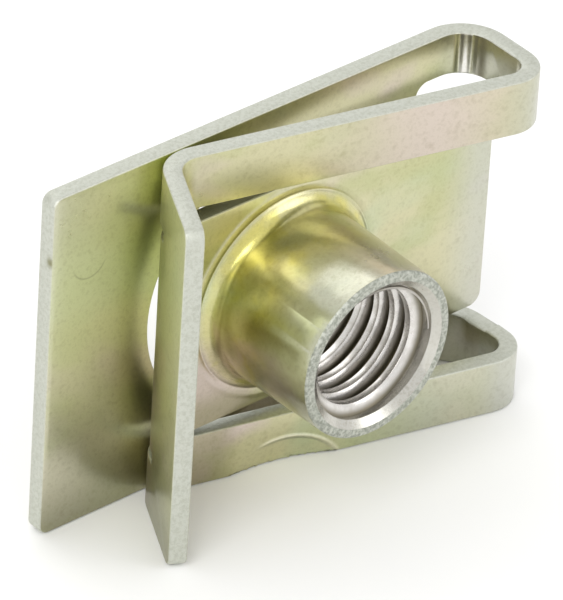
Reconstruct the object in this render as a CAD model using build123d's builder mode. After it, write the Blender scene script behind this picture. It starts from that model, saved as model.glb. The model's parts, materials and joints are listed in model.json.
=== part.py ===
from build123d import *
from math import cos, radians, sin, tan
import os

# U-clip speed nut: one strip of spring steel folded over the edge of a panel.
# The back leg lies behind the panel. The front leg is two straps that spring
# towards the back leg, meet it at a cross bar and flare out again as a lead-in
# lip. A tongue cut free between the straps carries a drawn, threaded collar.
#
# Frame: origin on the thread axis, in the tongue's front face. +X runs to the
# fold, -Y runs out of the collar's mouth and +Z runs across the strip.

# strip
sheet = 1.05
strip_width = 21.4

# back leg
back_end = 15.0  # thread axis to the free end
end_corner = 0.6
hole_radius = 7.75  # clearance hole behind the collar
hole_shift = -0.35

# fold
fold_reach = 14.55  # thread axis to the outside of the fold
fold_back_radius = 1.75  # inside radii of its two bends
fold_front_radius = 0.95
window_start = 10.1
window_width = 15.6
window_shift = 0.3
window_corner = 0.8
window_top = 1.6  # how far the window climbs the fold's wall

# straps
slot_width = 14.75
strap_angle = 14.3
strap_rise = 1.2  # strap's front face ahead of the tongue's, at the thread axis

# cross bar and lip
lip_angle = 62
lip_root = 7.7  # thread axis to the lip, in the tongue's front face
lip_length = 5.95
lip_corner = 0.7
pinch_radius = 1.35  # inside radius of the bend into the lip
pinch_gap = 0.04  # hairline between the cross bar and the back leg
slit_rise = 0.9  # how far the slits beside the tongue climb the lip

# tongue
tongue_width = 13.6
tongue_setback = 0.05  # tongue's end inside the outer face of the fold
tongue_corner = 0.8
tongue_root_radius = 1.1

# drawn collar
collar_height = 7.65
collar_end_radius = 4.98
collar_draft = 1.2
collar_base_radius = 0.95
collar_rim_radius = 0.18
bore_radius = 4.0  # major radius of the M8 thread
mouth_radius = 4.42
mouth_depth = 0.35
entry_radius = 0.8  # sheet drawn into the bore from behind

half_width = strip_width / 2
lean = radians(strap_angle)
flare = radians(lip_angle)

# middle lines of the straps and of the lip, and where they cross
mid = sheet / 2
strap_mid = mid / cos(lean) - strap_rise
lip_mid_x = -lip_root - mid * sin(flare)
lip_mid_y = mid * cos(flare)
cross = (lip_mid_y - strap_mid + lip_mid_x * tan(lean)) / (sin(flare) + cos(flare) * tan(lean))
cross_x = lip_mid_x - cross * cos(flare)
cross_y = lip_mid_y - cross * sin(flare)

# the back leg lies against the outside of the bend into the lip
pinch_mid = pinch_radius + mid
pinch_centre_y = cross_y - pinch_mid * (sin(lean) * tan((lean + flare) / 2) + cos(lean))
back_inner = pinch_centre_y + pinch_mid + mid + pinch_gap
back_mid = back_inner + mid
back_outer = back_inner + sheet

wall_mid = fold_reach - mid
fold_front_y = strap_mid - wall_mid * tan(lean)
lip_end_x = lip_mid_x - lip_length * cos(flare)
lip_end_y = lip_mid_y - lip_length * sin(flare)
tongue_end = fold_reach - tongue_setback
tongue_turn_x = lip_mid_x + (mid - lip_mid_y) * cos(flare) / sin(flare)

lip_front = Plane(
    origin=(-lip_root, 0, 0),
    x_dir=(-cos(flare), -sin(flare), 0),
    z_dir=(sin(flare), -cos(flare), 0),
)

with BuildPart() as clip:
    # folded strip, seen along its width
    with BuildSketch(Plane.XY) as strip_profile:
        with BuildLine() as strip_path:
            FilletPolyline(
                (-back_end, back_mid),
                (wall_mid, back_mid),
                (wall_mid, fold_front_y),
                (cross_x, cross_y),
                (lip_end_x, lip_end_y),
                radius=[fold_back_radius + mid, fold_front_radius + mid, pinch_mid],
            )
        trace(line_width=sheet)
    extrude(amount=half_width, both=True)

    # opening in the front leg, from the foot of the lip to the fold
    with BuildSketch(Plane.XY) as slot_side:
        with BuildLine():
            foot = lip_front.from_local_coords((slit_rise, 0, 0))
            heel = lip_front.from_local_coords((slit_rise, 0, -2 * sheet))
            Polyline(
                (heel.X, heel.Y),
                (heel.X, back_inner - pinch_gap / 2),
                (window_start + sheet, back_inner - pinch_gap / 2),
                (window_start + sheet, -window_top),
                (fold_reach + sheet, -window_top),
                (fold_reach + sheet, -collar_height),
                (foot.X, -collar_height),
                (foot.X, foot.Y),
                close=True,
            )
        make_face()
    extrude(amount=slot_width / 2, both=True, mode=Mode.SUBTRACT)

    # window through the fold
    window_length = 2 * (fold_reach + sheet - window_start)
    with BuildSketch(Plane.XZ.offset(window_top)) as window:
        with Locations((window_start + window_length / 2, window_shift)):
            RectangleRounded(window_length, window_width, window_corner)
    extrude(amount=-(window_top + back_outer + sheet), mode=Mode.SUBTRACT)

    # clearance hole in the back leg
    with BuildSketch(Plane.XZ.offset(-back_inner + pinch_gap / 2)) as clearance:
        with Locations((hole_shift, 0)):
            Circle(hole_radius)
    extrude(amount=-(sheet + pinch_gap), mode=Mode.SUBTRACT)

    # corners of the free end and of the lip
    end_edges = clip.edges().filter_by(Axis.Y).group_by(Axis.X)[0]
    fillet(end_edges, end_corner)
    lip_corners = clip.edges().group_by(Axis.Y)[0] + clip.edges().group_by(Axis.Y)[1]
    fillet([edge for edge in lip_corners if edge.length < 2 * sheet], lip_corner)

    # tongue, bent out of the lip
    with BuildSketch(Plane.XY) as tongue_profile:
        with BuildLine() as tongue_path:
            FilletPolyline(
                (tongue_end, mid),
                (tongue_turn_x, mid),
                ((lip_mid_x + lip_end_x) / 2, (lip_mid_y + lip_end_y) / 2),
                radius=tongue_root_radius + mid,
            )
        trace(line_width=sheet)
    extrude(amount=tongue_width / 2, both=True)
    upright = clip.edges().filter_by(Axis.Y)
    tongue_edges = upright.filter_by_position(Axis.X, tongue_end - 0.01, tongue_end + 0.01)
    fillet(tongue_edges, tongue_corner)

    # collar drawn out of the tongue
    collar_foot = collar_end_radius + collar_height * tan(radians(collar_draft))
    collar_plate = collar_foot + 1.2 * collar_base_radius
    with BuildSketch(Plane.XY) as collar_profile:
        with BuildLine():
            Polyline(
                (0, sheet),
                (collar_plate, sheet),
                (collar_plate, 0),
                (collar_foot, 0),
                (collar_end_radius, -collar_height),
                (0, -collar_height),
                close=True,
            )
        make_face()
        foot_corner = collar_profile.vertices().sort_by_distance((collar_foot, 0))[0]
        fillet(foot_corner, collar_base_radius)
        rim_corner = collar_profile.vertices().sort_by_distance((collar_end_radius, -collar_height))[0]
        fillet(rim_corner, collar_rim_radius)
    revolve(axis=Axis.Y)

    # bore, with the countersunk mouth and the drawn-in entry
    with BuildSketch(Plane.XY) as bore_profile:
        with BuildLine():
            Polyline(
                (0, sheet),
                (bore_radius + entry_radius, sheet),
                (bore_radius, sheet - entry_radius),
                (bore_radius, mouth_depth - collar_height),
                (mouth_radius, -collar_height),
                (0, -collar_height),
                close=True,
            )
        make_face()
    revolve(axis=Axis.Y, mode=Mode.SUBTRACT)

clip.part.label = "clip"

os.makedirs("parts", exist_ok=True)
export_step(clip.part, "parts/clip.step")
print("clip", clip.part.bounding_box(), clip.part.volume, len(clip.part.solids()))
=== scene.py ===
import json
import math
import bmesh
import bpy
from mathutils import Matrix, Vector


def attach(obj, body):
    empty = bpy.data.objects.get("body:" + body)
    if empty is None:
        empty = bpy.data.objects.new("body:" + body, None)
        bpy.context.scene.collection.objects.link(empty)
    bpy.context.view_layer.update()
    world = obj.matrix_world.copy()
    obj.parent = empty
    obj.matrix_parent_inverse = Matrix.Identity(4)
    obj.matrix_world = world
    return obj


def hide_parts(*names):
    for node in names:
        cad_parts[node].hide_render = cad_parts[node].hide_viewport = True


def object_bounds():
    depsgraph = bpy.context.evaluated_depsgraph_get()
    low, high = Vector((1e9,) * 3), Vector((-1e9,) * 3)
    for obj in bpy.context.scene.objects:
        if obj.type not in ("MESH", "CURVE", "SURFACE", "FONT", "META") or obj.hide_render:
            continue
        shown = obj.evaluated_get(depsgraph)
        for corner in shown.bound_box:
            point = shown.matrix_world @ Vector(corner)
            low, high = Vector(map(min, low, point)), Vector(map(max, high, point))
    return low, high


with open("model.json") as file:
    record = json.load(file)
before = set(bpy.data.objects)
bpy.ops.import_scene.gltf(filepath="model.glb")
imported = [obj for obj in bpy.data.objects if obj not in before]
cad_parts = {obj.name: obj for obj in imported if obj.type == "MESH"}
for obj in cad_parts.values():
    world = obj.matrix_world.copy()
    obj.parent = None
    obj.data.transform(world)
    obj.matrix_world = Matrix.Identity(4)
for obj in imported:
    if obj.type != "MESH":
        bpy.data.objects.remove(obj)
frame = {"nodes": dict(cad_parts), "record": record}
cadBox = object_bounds()
mm = 0.001
mounts = {mount["name"]: mount for mount in frame["record"]["mounts"]}
backFace = mounts["back_face"]["pos_m"][1] / mm
holeX = mounts["clearance_hole"]["pos_m"][0] / mm
holeRadius = mounts["clearance_hole"]["dims"]["r_mm"]
boreRadius = mounts["thread"]["dims"]["r_mm"]
backEnd = cadBox[0][0] / mm
foldEnd = cadBox[1][0] / mm
collarMouth = cadBox[0][1] / mm
lowEdge = cadBox[0][2] / mm
print("frame loaded", [round(v / mm, 2) for corner in cadBox for v in corner])


class Value:
    def __init__(self, board, socket):
        self.board = board
        self.socket = socket

    def maths(self, operation, *others):
        return self.board.node("ShaderNodeMath", {"operation": operation}, self, *others)

    def __add__(self, other):
        return self.maths("ADD", other)

    def __radd__(self, other):
        return self.maths("ADD", other)

    def __sub__(self, other):
        return self.maths("SUBTRACT", other)

    def __rsub__(self, other):
        return self.board.node("ShaderNodeMath", {"operation": "SUBTRACT"}, other, self)

    def __mul__(self, other):
        return self.maths("MULTIPLY", other)

    def __rmul__(self, other):
        return self.maths("MULTIPLY", other)

    def __truediv__(self, other):
        return self.maths("DIVIDE", other)

    def clipped(self):
        return self.board.node("ShaderNodeClamp", {}, self)

    def step(self, low, high):  # 0 below low, 1 above high, smooth between
        ends = {"Value": self, "From Min": low, "From Max": high}
        return self.board.node("ShaderNodeMapRange", {"interpolation_type": "SMOOTHSTEP"}, ends)

    def upTo(self, low, high):  # the other way round: 1 below low, 0 above high
        return 1 - self.step(low, high)

    def bell(self, centre, width):  # 1 at the centre, close to 0 at twice the width from it
        away = (self - centre) / width
        return self.board.node("ShaderNodeMath", {"operation": "EXPONENT"}, away * away * -1)


class Board:
    def __init__(self, tree):
        self.tree = tree

    def node(self, kind, settings, *values, out=0):
        made = self.tree.nodes.new(kind)
        for name, value in settings.items():
            if name == "stops":
                self.setStops(made.color_ramp, value)
            else:
                setattr(made, name, value)
        pairs = enumerate(values)
        if values and isinstance(values[0], dict):
            pairs = values[0].items()
        for key, value in pairs:
            if isinstance(value, Value):
                self.tree.links.new(value.socket, made.inputs[key])
            else:
                made.inputs[key].default_value = value
        return Value(self, made.outputs[out])

    def setStops(self, ramp, stops):
        while len(ramp.elements) < len(stops):
            ramp.elements.new(1.0)
        for element, (place, colour) in zip(ramp.elements, stops):
            element.position = place
            element.color = colour

    def feed(self, shader, socket, value):
        self.tree.links.new(value.socket, shader.inputs[socket])

    def bump(self, shader, height):  # height in millimetres
        tilted = self.node("ShaderNodeBump", {}, {"Strength": 1.0, "Distance": mm, "Height": height})
        self.feed(shader, "Normal", tilted)

    def noise(self, where, scale, detail, rough):
        sockets = {"Vector": where, "Scale": scale, "Detail": detail, "Roughness": rough}
        return self.node("ShaderNodeTexNoise", {}, sockets)

    def blend(self, amount, first, second, kind="MIX"):
        settings = {"data_type": "RGBA", "blend_type": kind}
        return self.node("ShaderNodeMix", settings, {0: amount, 6: first, 7: second}, out=2)

    def vector(self, operation, first, second):
        return self.node("ShaderNodeVectorMath", {"operation": operation}, first, second)


def paint(red, green, blue):  # display tones to linear ones
    tones = [v / 255 for v in (red, green, blue)]
    return tuple(v / 12.92 if v < 0.04045 else ((v + 0.055) / 1.055) ** 2.4 for v in tones) + (1.0,)


class Spot:  # where a point lies on the part, in millimetres, and how far from the thread's axis
    def __init__(self, board):
        self.place = board.node("ShaderNodeTexCoord", {}, out=3)
        axes = board.node("ShaderNodeSeparateXYZ", {}, self.place).socket.node.outputs
        self.x, self.y, self.z = (Value(board, axes[n]) / mm for n in range(3))
        self.radius = self.awayFrom(0.0, 0.0)

    def awayFrom(self, x, z):
        across = self.x - x
        up = self.z - z
        return (across * across + up * up).maths("SQRT")


def newMaterial(name, constants):
    material = bpy.data.materials.new(name)
    material.use_nodes = True
    board = Board(material.node_tree)
    shader = material.node_tree.nodes["Principled BSDF"]
    for socket, value in constants.items():
        shader.inputs[socket].default_value = value
    return material, board, shader


def newPiece(name, mesh):
    piece = bpy.data.objects.new(name, mesh)
    bpy.context.scene.collection.objects.link(piece)
    return piece


def plainMesh(piece):
    graph = bpy.context.evaluated_depsgraph_get()
    return bpy.data.meshes.new_from_object(piece.evaluated_get(graph))


# the folded strip, with the edges rolled over by the shears and the hollow pressed in its lower strap,
# in millimetres where nothing else is said
strip = {
    "node": "clip",
    "edgeRoll": 0.13,
    "edgeSteps": 3,
    "sharpFrom": 38.0,  # edges turned by more than this are rolled over, degrees
    "smoothUpTo": 26.0,  # shaded smooth across edges turned by less, degrees
    "flatWithin": 0.4,  # faces turned by less are joined into one, degrees
    "mergeWithin": 0.002,
    "lean": 14.3,  # straps towards the back leg, degrees
    "strapRise": 1.2,
    "lipTurn": 62.0,  # lip away from the tongue, degrees
    "lipRoot": 7.7,
    "lipLength": 5.95,
    "sheet": 1.05,
    "windowTop": 1.6,
    "windowEdge": (9.8, 11.5),  # X span that takes in the window's edge in the back leg
    "tongueHalf": 6.9,  # a little over half the tongue's width
    "collarReach": 6.3,  # radius that takes in the whole collar
    "hollowAt": (-0.3, -12.75),
    "hollowRim": 3.8,
    "hollowBall": 12.0,
    "ballSteps": 192,
    "hollowBase": 0.25,  # back of the pressing tool ahead of the strap's face
}


def joinFlatFaces(shape):
    merge = strip["mergeWithin"] * mm
    flat = math.radians(strip["flatWithin"])
    bmesh.ops.remove_doubles(shape, verts=shape.verts, dist=merge)
    bmesh.ops.dissolve_limit(shape, angle_limit=flat, verts=shape.verts, edges=shape.edges)


def mergedCopy(node):
    mesh = frame["nodes"][node].data.copy()
    shape = bmesh.new()
    shape.from_mesh(mesh)
    joinFlatFaces(shape)
    shape.to_mesh(mesh)
    shape.free()
    return mesh


def pressingBall():
    lean = math.radians(strip["lean"])
    along, across = strip["hollowAt"]
    outward = Vector((-math.sin(lean), -math.cos(lean), 0))
    centre = Vector((along * math.cos(lean), -strip["strapRise"] - along * math.sin(lean), across))
    lift = math.sqrt(strip["hollowBall"] ** 2 - strip["hollowRim"] ** 2)
    shape = bmesh.new()
    steps = strip["ballSteps"]
    bmesh.ops.create_uvsphere(shape, u_segments=steps, v_segments=steps, radius=strip["hollowBall"] * mm)
    nose = (lift - strip["hollowBase"]) * -mm  # only the ball's nose is kept, flat at the back
    parts = list(shape.verts) + list(shape.edges) + list(shape.faces)
    blade = {"plane_co": (0, 0, nose), "plane_no": (0, 0, 1), "clear_outer": True}
    cut = bmesh.ops.bisect_plane(shape, geom=parts, **blade)
    rim = [part for part in cut["geom_cut"] if isinstance(part, bmesh.types.BMEdge)]
    bmesh.ops.contextual_create(shape, geom=rim)
    bmesh.ops.recalc_face_normals(shape, faces=shape.faces)
    turn = outward.to_track_quat("Z", "Y").to_matrix().to_4x4()
    place = Matrix.Translation((centre + outward * lift) * mm)
    bmesh.ops.transform(shape, matrix=place @ turn, verts=shape.verts)
    mesh = bpy.data.meshes.new("pressingBall")
    shape.to_mesh(mesh)
    shape.free()
    return newPiece("pressingBall", mesh)


def soft(value, low, high):
    share = min(max((value - low) / (high - low), 0.0), 1.0)
    return share * share * (3 - 2 * share)


def mouthShare(y, radius, normal):  # how far a face of the collar belongs to its end ring
    ring = 1 - soft(y - collarMouth, 0.12, 0.2)
    flat = normal.y < -0.9 and y < collarMouth + 0.05
    return ring if flat or radius > boreRadius + 0.3 else 0.0


def edgeShare(x, y, z, normal):  # how far a face of the strip belongs to a sheared edge
    sideways = math.hypot(normal.x, normal.z)
    flare = math.radians(strip["lipTurn"])
    lipRun = -(x + strip["lipRoot"]) * math.cos(flare) - y * math.sin(flare)
    backFront = backFace - strip["sheet"]
    windowNear, windowFar = strip["windowEdge"]
    share = abs(normal.z)
    if x < backEnd + 0.7:  # free end and its corners
        share = sideways
    if x < -strip["lipRoot"] and lipRun > strip["lipLength"] - 0.9:  # end of the lip
        share = math.hypot(normal.x * math.cos(flare) + normal.y * math.sin(flare), normal.z)
    inHole = math.hypot(x - holeX, z) < holeRadius + 0.25
    if y > backFront - 0.05 and (inHole or windowNear < x < windowFar):
        share = max(share, sideways)
    if x > foldEnd - 0.95 and abs(z) < strip["tongueHalf"] and y > -0.1:  # end of the tongue
        share = sideways
    return soft(share, 0.3, 0.85)


def markEdges(mesh):
    sheared = mesh.attributes.new("sheared", "FLOAT", "FACE")
    mouth = mesh.attributes.new("mouth", "FLOAT", "FACE")
    for face in mesh.polygons:
        x, y, z = face.center / mm
        radius = math.hypot(x, z)
        if radius < strip["collarReach"] and y < 1.0:
            mouth.data[face.index].value = mouthShare(y, radius, face.normal)
        else:
            sheared.data[face.index].value = edgeShare(x, y, z, face.normal)


def hollowed(mesh):
    blank = newPiece("blank", mesh)
    ball = pressingBall()
    hollow = blank.modifiers.new("hollow", "BOOLEAN")
    hollow.operation = "DIFFERENCE"
    hollow.solver = "EXACT"
    hollow.object = ball
    pressed = plainMesh(blank)
    bpy.data.objects.remove(ball)
    bpy.data.objects.remove(blank)
    return pressed


def chooseRolledEdges(mesh):  # sharp edges, but not the collar's turned ones or the window's ledge
    shape = bmesh.new()
    shape.from_mesh(mesh)
    joinFlatFaces(shape)
    weight = shape.edges.layers.float.new("bevel_weight_edge")
    for edge in shape.edges:
        middle = (edge.verts[0].co + edge.verts[1].co) / 2 / mm
        turned = math.hypot(middle.x, middle.z) < strip["collarReach"] + 0.1 and middle.y < 1.2
        ledge = middle.x > foldEnd - 1.2 and abs(middle.y + strip["windowTop"]) < 0.2
        sharp = len(edge.link_faces) == 2 and edge.calc_face_angle(0.0) > math.radians(strip["sharpFrom"])
        edge[weight] = 1.0 if sharp and not turned and not ledge else 0.0
    shape.to_mesh(mesh)
    shape.free()


def pressedStrip(material):
    mesh = hollowed(mergedCopy(strip["node"]))
    chooseRolledEdges(mesh)
    piece = newPiece("pressedStrip", mesh)
    roll = piece.modifiers.new("edgeRoll", "BEVEL")
    roll.width = strip["edgeRoll"] * mm
    roll.segments = strip["edgeSteps"]
    roll.limit_method = "WEIGHT"
    roll.use_clamp_overlap = False
    mesh = plainMesh(piece)
    piece.modifiers.clear()
    mesh.materials.clear()
    mesh.materials.append(material)
    piece.data = mesh
    mesh.shade_smooth()
    mesh.set_sharp_from_angle(angle=math.radians(strip["smoothUpTo"]))
    markEdges(mesh)
    print("strip pressed", len(mesh.polygons), "faces")
    return piece


# passivated zinc: iridescent on the rolled faces, pale and dull where the strip was sheared
zinc = {
    "rose": paint(212, 198, 190),
    "straw": paint(208, 204, 168),
    "olive": paint(186, 190, 140),
    "mint": paint(198, 203, 168),
    "gold": paint(222, 213, 118),
    "brown": paint(150, 134, 92),
    "lime": paint(226, 230, 176),
    "cream": paint(226, 228, 200),
    # painted shade for the lower edges
    "lowShade": paint(134, 132, 106),
    "ash": paint(206, 204, 190),
    # painted shade below the collar
    "collarShade": paint(160, 156, 120),
    "worn": paint(200, 201, 190),
    # painted highlight for the crescent round the collar
    "crescentHighlight": paint(252, 251, 246),
    "glint": paint(252, 250, 246),
    "dusk": paint(128, 118, 110),
    "rimLight": paint(232, 228, 206),
    "scratch": paint(120, 120, 88),
    "soil": paint(176, 172, 146),
    "wellMouth": paint(206, 204, 196),
    # painted shade deep in the bore
    "wellShade": paint(128, 123, 104),
    "sheared": paint(206, 208, 198),
    "shearedGrain": paint(184, 186, 172),
    # painted shade on the tongue's upper sheared edge
    "slitShade": paint(132, 130, 88),
    "mouth": paint(198, 200, 190),
    "mouthGrain": paint(146, 150, 138),
    "speck": paint(86, 84, 66),
    "scratchAt": (-12.4, 6.0),  # centre of the scratched arc, millimetres
    "rimWidth": 0.13,
    "drawnOut": (0.55, 1.0, 1.0),  # clouds are drawn out along the strip
    "drift": 3.0,  # how far the clouds move the marks' borders, millimetres
    "speckScale": 170.0,
    "faceRoughness": 0.31,
    "shearedRoughness": 0.56,
    "mouthRoughness": 0.15,  # more than the faces
    "collarPolish": 0.07,  # less than the faces
}

# noises: scale, detail and roughness
noises = {
    "cloud": (105.0, 3.0, 0.55),
    "tint": (178.5, 4.0, 0.6),
    "patch": (300.0, 3.0, 0.6),
    "grain": (1900.0, 4.0, 0.7),
    "torn": (4200.0, 4.0, 0.75),
    "speck": (260.0, 0.0, 0.5),
    "smear": (320.0, 3.0, 0.6),
    "pull": (330.0, 2.0, 0.45),
    "peel": (520.0, 2.0, 0.5),
    "thread": (1400.0, 3.0, 0.6),
    "floor": (9.0, 2.0, 0.5),
}

# heights of the pressing marks, in millimetres
relief = {
    "crease": 0.05,
    "pull": 0.10,
    "kink": 0.24,
    "rim": 0.10,
    "peel": 0.010,
    "grain": 0.004,
    "torn": 0.035,
    "mouthTorn": 0.09,
}

# where each mark lies, in millimetres: the two ends of a step, or the centre and width of a bell
spans = {
    "backFaces": (1.7, 2.1),  # between the back leg's front and rear faces
    "tongueFaces": (0.4, 0.8),
    "collarWall": (5.5, 6.0),
    "collarBack": (0.2, 0.9),
    "collarFoot": (-5.8, -2.6),
    "brownX": (-4.6, 1.3),
    "brownY": (-2.9, 1.8),
    "brownZ": (0.6, 2.2),
    "nipX": (-8.6, 2.3),
    "nipY": (0.9, 1.3),
    "freeEndX": (-10.5, -7.2),
    "lowZ": (-10.5, -5.0),
    "lowX": (-9.0, -6.0),
    "paleZ": (4.0, 10.0),
    "paleX": (-14.0, -10.0),
    "underZ": (-6.0, -4.2),
    "underX": (-3.0, 1.5),
    "underRoot": (-8.2, -7.0),
    "underY": (-0.5, -0.1),
    "strapY": (-1.6, -1.1),
    "roseX": (7.0, 5.0),
    "roseZ": (0.0, 5.0),
    "foldX": (10.5, 14.0),
    "lowStrapX": (3.0, 9.0),
    "lowStrapZ": (-4.0, 0.0),
    "wellY": (-7.0, -6.0),
    "wellBack": (0.6, 0.9),
    "loopZ": (7.0, 7.4),
    "loopY": (-0.4, 0.3),
    "loopBack": (1.9, 2.2),
    "kinkLight": (12.95, 0.18),
    "kinkShade": (13.45, 0.14),
    "kinkRise": (12.7, 0.16),
    "kinkFall": (13.2, 0.12),
    "rimY": (-1.0, -0.6),
    "rimZ": (-8.6, -8.2),
    "scratchArc": (1.1, 0.05),
    "scratchZ": (5.2, 5.9),
    "crescent": (6.3, 0.24),
    "crescentX": (-4.2, -1.6),
    "crescentZ": (0.6, 2.6),
    "crescentY": (-0.3, -0.05),
    "slitZ": (6.8, 0.3),
    "slitY": (-0.3, 0.0),
    "slitX": (-2.0, 3.0),
    "crease": (6.35, 0.20),
    "groove": (5.95, 0.10),
}


def stripAreas(spot, sheared):  # each is 1 inside its area and 0 outside
    y, z = spot.y, spot.z
    loop = z.step(*spans["loopZ"]) * y.step(*spans["loopY"]) * y.upTo(*spans["loopBack"])
    rim = spot.awayFrom(*strip["hollowAt"]).bell(strip["hollowRim"], zinc["rimWidth"])
    return {
        "collar": spot.radius.upTo(*spans["collarWall"]) * y.upTo(*spans["collarBack"]),
        "front": y.upTo(*spans["backFaces"]),  # all but the back leg's rear face
        "strap": y.upTo(*spans["strapY"]),
        "loop": loop * (1 - sheared),
        "rim": rim * y.upTo(*spans["rimY"]) * z.upTo(*spans["rimZ"]),
    }


def cloudTones(board, cloud, drawn):
    tint = board.noise(board.vector("ADD", drawn, (0.3, 0.1, 0.7)), *noises["tint"])
    stops = [(0.40, zinc["mint"]), (0.47, zinc["straw"]), (0.54, zinc["straw"]), (0.61, zinc["rose"])]
    face = board.node("ShaderNodeValToRGB", {"stops": stops}, cloud)
    return board.blend(tint.step(0.46, 0.62) * 0.6, face, zinc["olive"])


def collarTones(board, spot, area, drift, face):  # yellower at its foot, greyer towards its mouth
    foot = spot.y.step(*spans["collarFoot"])
    patch = board.noise(spot.place, *noises["patch"]).step(0.42, 0.58)
    face = board.blend(area["collar"] * foot * (0.35 + patch * 0.5), face, zinc["gold"])
    brown = spot.x.bell(*spans["brownX"]) * spot.y.bell(*spans["brownY"])
    brown = brown * (spot.z + drift).bell(*spans["brownZ"])
    face = board.blend(area["collar"] * brown * 0.45, face, zinc["brown"])
    return board.blend(area["collar"] * (1 - foot) * 0.6, face, zinc["sheared"])


def legTones(board, spot, area, drift, face):
    x, y, z = spot.x, spot.y, spot.z
    nip = (x + drift).bell(*spans["nipX"]) * y.step(*spans["nipY"])  # where the legs close on each other
    face = board.blend(nip * area["front"] * 0.85, face, zinc["lime"])
    face = board.blend((x + drift).upTo(*spans["freeEndX"]) * 0.6, face, zinc["cream"])
    low = (z + drift).upTo(*spans["lowZ"]) * x.upTo(*spans["lowX"])  # painted shade, darker along the lower edges
    face = board.blend(low * area["front"] * 0.75, face, zinc["lowShade"])
    pale = (z + drift).step(*spans["paleZ"]) * x.upTo(*spans["paleX"])
    face = board.blend(pale * 0.6, face, zinc["ash"])
    under = z.upTo(*spans["underZ"]) * x.upTo(*spans["underX"]) * x.step(*spans["underRoot"])
    under = under * y.step(*spans["underY"]) * area["front"]  # painted shade from the collar on the tongue below it
    return board.blend(under * 0.6, face, zinc["collarShade"])


def strapTones(board, spot, area, drift, face):  # rosy above, the fold and the lower strap faded
    x, z = spot.x, spot.z
    rosy = area["strap"] * (x + drift * 2).bell(*spans["roseX"]) * z.step(*spans["roseZ"])
    face = board.blend(rosy * 0.85, face, zinc["rose"])
    low = area["strap"] * x.step(*spans["lowStrapX"]) * z.upTo(*spans["lowStrapZ"])
    worn = (x + drift * 0.5).step(*spans["foldX"]) * 0.8 + low * 0.6
    return board.blend(worn.clipped(), face, zinc["worn"])


def wellTones(board, spot, mouth, face):  # the collar's bore, bright at its mouth, with painted shade further in
    inside = spot.radius.upTo(boreRadius + 0.46, boreRadius + 0.5) * (1 - mouth)
    inside = inside * spot.y.upTo(*spans["wellBack"])
    well = board.blend(spot.y.step(*spans["wellY"]), zinc["wellMouth"], zinc["wellShade"])
    return board.blend(inside, face, well)


def lineTones(board, spot, area, sheared, face):
    x, y, z = spot.x, spot.y, spot.z
    face = board.blend(x.bell(*spans["kinkLight"]) * area["loop"] * 0.95, face, zinc["glint"])
    face = board.blend(x.bell(*spans["kinkShade"]) * area["loop"] * 0.6, face, zinc["dusk"])
    face = board.blend(area["rim"] * 0.7, face, zinc["rimLight"])
    scratch = spot.awayFrom(*zinc["scratchAt"]).bell(*spans["scratchArc"])  # a faint arc in the back leg
    scratch = scratch * z.upTo(*spans["scratchZ"]) * area["front"] * (1 - sheared)
    face = board.blend(scratch * 0.35, face, zinc["scratch"])
    # painted highlight: a pale crescent on the tongue round the collar's foot
    crescent = spot.radius.bell(*spans["crescent"]) * x.upTo(*spans["crescentX"])
    crescent = crescent * z.step(*spans["crescentZ"]) * y.step(*spans["crescentY"]) * area["front"]
    return board.blend(crescent * 0.85, face, zinc["crescentHighlight"])


def shearedTones(board, spot, area, torn):
    edge = board.blend(torn.step(0.4, 0.65) * 0.6, zinc["sheared"], zinc["shearedGrain"])
    # painted shade on the tongue's upper sheared edge, under the strap
    slitShade = spot.z.bell(*spans["slitZ"]) * spot.y.step(*spans["slitY"]) * spot.x.upTo(*spans["slitX"])
    return board.blend(slitShade * area["front"] * 0.8, edge, zinc["slitShade"])


def stripHeight(board, spot, area, sheared, mouth, grain, torn):
    ring = spot.radius.bell(*spans["crease"]) - spot.radius.bell(*spans["groove"])
    height = ring * spot.y.upTo(*spans["tongueFaces"]) * relief["crease"]
    height = height + area["collar"] * board.noise(spot.place, *noises["pull"]) * relief["pull"]
    kink = spot.x.bell(*spans["kinkRise"]) - spot.x.bell(*spans["kinkFall"])
    height = height + kink * area["loop"] * relief["kink"] + area["rim"] * relief["rim"]
    height = height + board.noise(spot.place, *noises["peel"]) * relief["peel"] + grain * relief["grain"]
    return height + sheared * torn * relief["torn"] + mouth * torn * relief["mouthTorn"]


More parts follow.
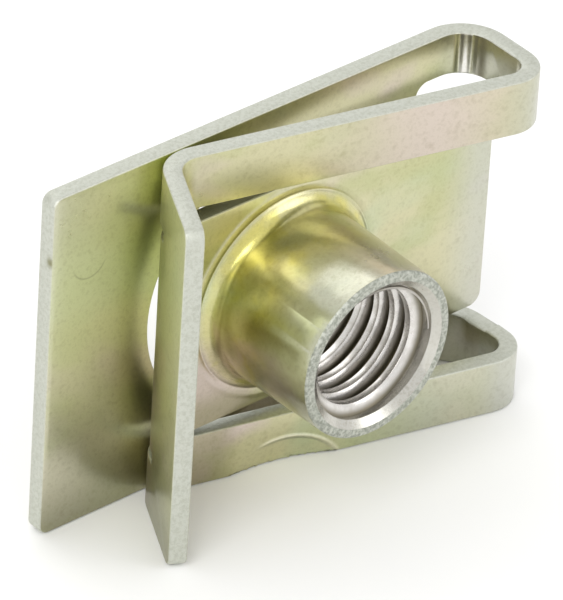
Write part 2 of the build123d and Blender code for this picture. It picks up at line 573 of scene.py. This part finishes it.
def zincMaterial():
    material, board, shader = newMaterial("passivatedZinc", {"Metallic": 1.0, "Specular IOR Level": 0.5})
    spot = Spot(board)
    sheared = board.node("ShaderNodeAttribute", {"attribute_name": "sheared"}, out=2)
    mouth = board.node("ShaderNodeAttribute", {"attribute_name": "mouth"}, out=2)
    area = stripAreas(spot, sheared)
    drawn = board.vector("MULTIPLY", spot.place, zinc["drawnOut"])
    cloud = board.noise(drawn, *noises["cloud"])
    drift = (cloud - 0.5) * zinc["drift"]
    grain = board.noise(spot.place, *noises["grain"])
    torn = board.noise(spot.place, *noises["torn"])

    face = cloudTones(board, cloud, drawn)
    face = collarTones(board, spot, area, drift, face)
    face = legTones(board, spot, area, drift, face)
    face = strapTones(board, spot, area, drift, face)
    face = wellTones(board, spot, mouth, face)
    face = lineTones(board, spot, area, sheared, face)
    face = board.blend((grain - 0.5).maths("ABSOLUTE") * 1.3, face, zinc["soil"], "MULTIPLY")
    colour = board.blend(sheared, face, shearedTones(board, spot, area, torn))
    ring = board.blend(torn.step(0.4, 0.6) * 0.85, zinc["mouth"], zinc["mouthGrain"])
    colour = board.blend(mouth, colour, ring)

    speckled = {"Vector": spot.place, "Scale": zinc["speckScale"]}
    cells = board.node("ShaderNodeTexVoronoi", {"feature": "F1"}, speckled)
    rare = board.noise(spot.place, *noises["speck"])
    specks = cells.upTo(0.03, 0.075) * rare.step(0.57, 0.62)
    board.feed(shader, "Base Color", board.blend(specks * 0.75, colour, zinc["speck"]))

    smear = board.noise(drawn, *noises["smear"])
    rough = zinc["faceRoughness"] + (smear - 0.5) * 0.16 + (grain - 0.5) * 0.08
    rough = rough - area["collar"] * zinc["collarPolish"] + mouth * zinc["mouthRoughness"]
    rough = rough + sheared * (zinc["shearedRoughness"] - zinc["faceRoughness"])
    board.feed(shader, "Roughness", rough.clipped())
    board.bump(shader, stripHeight(board, spot, area, sheared, mouth, grain, torn))
    return material


# the bolt's thread, a ridge wound right-handed inside the collar, in millimetres
thread = {
    "pitch": 1.25,
    "crest": 3.42,
    "foot": 1.16,
    "top": 0.42,
    "cornerRadius": 0.035,
    "start": -7.3,
    "end": 0.45,
    "taper": 1 / 1.5,  # turns over which it grows at each end
    "thinnest": 0.08,  # share of its full size at the very ends
    "stepsPerTurn": 96,
    "sink": 0.12,  # foot of the ridge inside the collar's wall
    "mergeWithin": 0.001,
    "smoothUpTo": 40.0,  # degrees
    "crestTone": paint(228, 225, 221),
    "rootTone": paint(132, 126, 110),
    "dullTone": paint(150, 142, 124),
    "rootFrom": 0.15,  # outside the crest
}


def threadMaterial():
    material, board, shader = newMaterial("cutThread", {"Metallic": 1.0})
    spot = Spot(board)
    grain = board.noise(spot.place, *noises["thread"])
    root = spot.radius.step(thread["crest"] + thread["rootFrom"], boreRadius)
    colour = board.blend(root, thread["crestTone"], thread["rootTone"])
    board.feed(shader, "Base Color", board.blend(grain.step(0.4, 0.8) * 0.35, colour, thread["dullTone"]))
    board.feed(shader, "Roughness", (0.20 + grain * 0.14 + root * 0.15).clipped())
    board.bump(shader, grain * 0.010)
    return material


def ridgeTree(material):
    tree = bpy.data.node_groups.new("woundRidge", "GeometryNodeTree")
    board = Board(tree)
    sizes = ("Pitch", "Turns", "Wall", "Depth", "Foot", "Top")
    for name in sizes:
        tree.interface.new_socket(name, in_out="INPUT", socket_type="NodeSocketFloat")
    tree.interface.new_socket("Ridge", in_out="OUTPUT", socket_type="NodeSocketGeometry")
    given = tree.nodes.new("NodeGroupInput")
    size = {name: Value(board, given.outputs[name]) for name in sizes}
    helix = {
        "Resolution": thread["stepsPerTurn"],
        "Rotations": size["Turns"],
        "Start Radius": size["Wall"],
        "End Radius": size["Wall"],
        "Height": size["Turns"] * size["Pitch"],
        "Reverse": False,
    }
    path = board.node("GeometryNodeCurveSpiral", {}, helix)
    run = board.node("GeometryNodeSplineParameter", {})
    ends = size["Turns"] / thread["taper"]
    taper = (run * ends).maths("MINIMUM", 1.0).maths("MINIMUM", (1 - run) * ends)
    taper = taper.maths("MAXIMUM", thread["thinnest"])
    path = board.node("GeometryNodeSetCurveNormal", {"mode": "Z_UP"}, {"Curve": path})
    cut = {"Bottom Width": size["Foot"], "Top Width": size["Top"], "Height": size["Depth"], "Offset": 0.0}
    section = board.node("GeometryNodeCurvePrimitiveQuadrilateral", {"mode": "TRAPEZOID"}, cut)
    corners = {"Curve": section, "Radius": thread["cornerRadius"] * mm, "Count": 2}
    section = board.node("GeometryNodeFilletCurve", {"mode": "POLY"}, corners)
    turned = {"Geometry": section, "Rotation": (0.0, 0.0, math.radians(-90))}  # narrow side to the axis
    section = board.node("GeometryNodeTransform", {}, turned)
    ridge = {"Curve": path, "Profile Curve": section, "Scale": taper, "Fill Caps": True}
    ridge = board.node("GeometryNodeCurveToMesh", {}, ridge)
    ridge = board.node("GeometryNodeRealizeInstances", {}, ridge)
    ridge = board.node("GeometryNodeSetMaterial", {}, {"Geometry": ridge, "Material": material})
    result = tree.nodes.new("NodeGroupOutput")
    tree.links.new(ridge.socket, result.inputs["Ridge"])
    return tree


def boltThread(material):
    depth = boreRadius - thread["crest"] + thread["sink"]
    turns = (thread["end"] - thread["start"]) / thread["pitch"]
    given = {
        "Pitch": thread["pitch"] * mm,
        "Turns": turns,
        "Wall": (thread["crest"] + depth / 2) * mm,
        "Depth": depth * mm,
        "Foot": thread["foot"] * mm,
        "Top": thread["top"] * mm,
    }
    piece = newPiece("boltThread", bpy.data.meshes.new("boltThread"))
    maker = piece.modifiers.new("ridge", "NODES")
    maker.node_group = ridgeTree(material)
    for item in maker.node_group.interface.items_tree:
        if item.in_out == "INPUT":
            maker[item.identifier] = given[item.name]
    mesh = plainMesh(piece)
    piece.modifiers.clear()
    lay = Matrix.Rotation(math.radians(-90), 4, "X")  # the helix's own Z along +Y
    mesh.transform(Matrix.Translation((0, thread["start"] * mm, 0)) @ lay)
    shape = bmesh.new()
    shape.from_mesh(mesh)
    bmesh.ops.remove_doubles(shape, verts=shape.verts, dist=thread["mergeWithin"] * mm)
    bmesh.ops.recalc_face_normals(shape, faces=shape.faces)
    shape.to_mesh(mesh)
    shape.free()
    mesh.shade_smooth()
    mesh.set_sharp_from_angle(angle=math.radians(thread["smoothUpTo"]))
    piece.data = mesh
    radii = [math.hypot(v.co.x, v.co.z) / mm for v in mesh.vertices]
    print("thread wound", len(mesh.polygons), "faces", round(min(radii), 2), round(max(radii), 2))
    return piece


# pale floor and soft lamps
studio = {
    "floorTones": ((0.93, 0.93, 0.925, 1.0), (0.95, 0.95, 0.945, 1.0)),
    "floorSize": 1.6,  # metres
    "floorGap": 0.05,  # under the part, millimetres
    "sky": 0.92,
    "lamps": [
        # name, place and size in metres, power in watts
        ("leftKey", (-0.42, -0.20, 0.42), 0.35, 1.3),
        ("rightFill", (0.35, -0.45, 0.30), 0.30, 0.5),
        ("backWash", (0.10, 0.45, 0.40), 0.40, 0.5),
    ],
}


def floorMaterial():
    material, board, shader = newMaterial("paleFloor", {"Roughness": 0.9, "Specular IOR Level": 0.1})
    mottle = board.noise(Spot(board).place, *noises["floor"])
    board.feed(shader, "Base Color", board.blend(mottle, *studio["floorTones"]))
    return material


def layFloor():
    half = studio["floorSize"] / 2
    level = (lowEdge - studio["floorGap"]) * mm
    mesh = bpy.data.meshes.new("floor")
    corners = [(-half, -half, level), (half, -half, level), (half, half, level), (-half, half, level)]
    mesh.from_pydata(corners, [], [(0, 1, 2, 3)])
    mesh.materials.append(floorMaterial())
    floor = newPiece("floor", mesh)


def hangLamps():
    for name, place, size, power in studio["lamps"]:
        data = bpy.data.lights.new(name, "AREA")
        data.size = size
        data.energy = power
        lamp = bpy.data.objects.new(name, data)
        lamp.location = place
        lamp.rotation_euler = (-Vector(place)).to_track_quat("-Z", "Y").to_euler()
        bpy.context.scene.collection.objects.link(lamp)
    world = bpy.data.worlds.new("sky")
    world.use_nodes = True
    glow = world.node_tree.nodes["Background"]
    glow.inputs["Color"].default_value = (1.0, 1.0, 1.0, 1.0)
    glow.inputs["Strength"].default_value = studio["sky"]
    bpy.context.scene.world = world
    bpy.context.scene.view_settings.view_transform = "Standard"


# where the camera stands: its own right, up and back directions, and its distances in millimetres
view = {
    "right": (0.760, -0.648, 0.052),
    "up": (0.336, 0.461, 0.821),
    "back": (-0.556, -0.607, 0.568),
    "slide": (0.16239, 0.51466),  # part's origin right of and above the middle of the view
    "distance": 456.6,
    "lens": 516.0,
    "sensor": 36.0,
    "nearest": 10.0,
}


def setCamera():
    right, up, back = (Vector(view[name]).normalized() for name in ("right", "up", "back"))
    data = bpy.data.cameras.new("camera")
    data.lens = view["lens"]
    data.sensor_width = view["sensor"]
    data.clip_start = view["nearest"] * mm
    camera = bpy.data.objects.new("camera", data)
    place = back * view["distance"] - right * view["slide"][0] - up * view["slide"][1]
    turn = Matrix((right, up, back)).transposed().to_4x4()
    camera.matrix_world = Matrix.Translation(place * mm) @ turn
    bpy.context.scene.collection.objects.link(camera)
    bpy.context.scene.camera = camera


setCamera()
hangLamps()
layFloor()
print("studio set")

body = pressedStrip(zincMaterial())
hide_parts("clip")
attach(body, "root")

ridge = boltThread(threadMaterial())
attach(ridge, "root")

print("pieces ready")
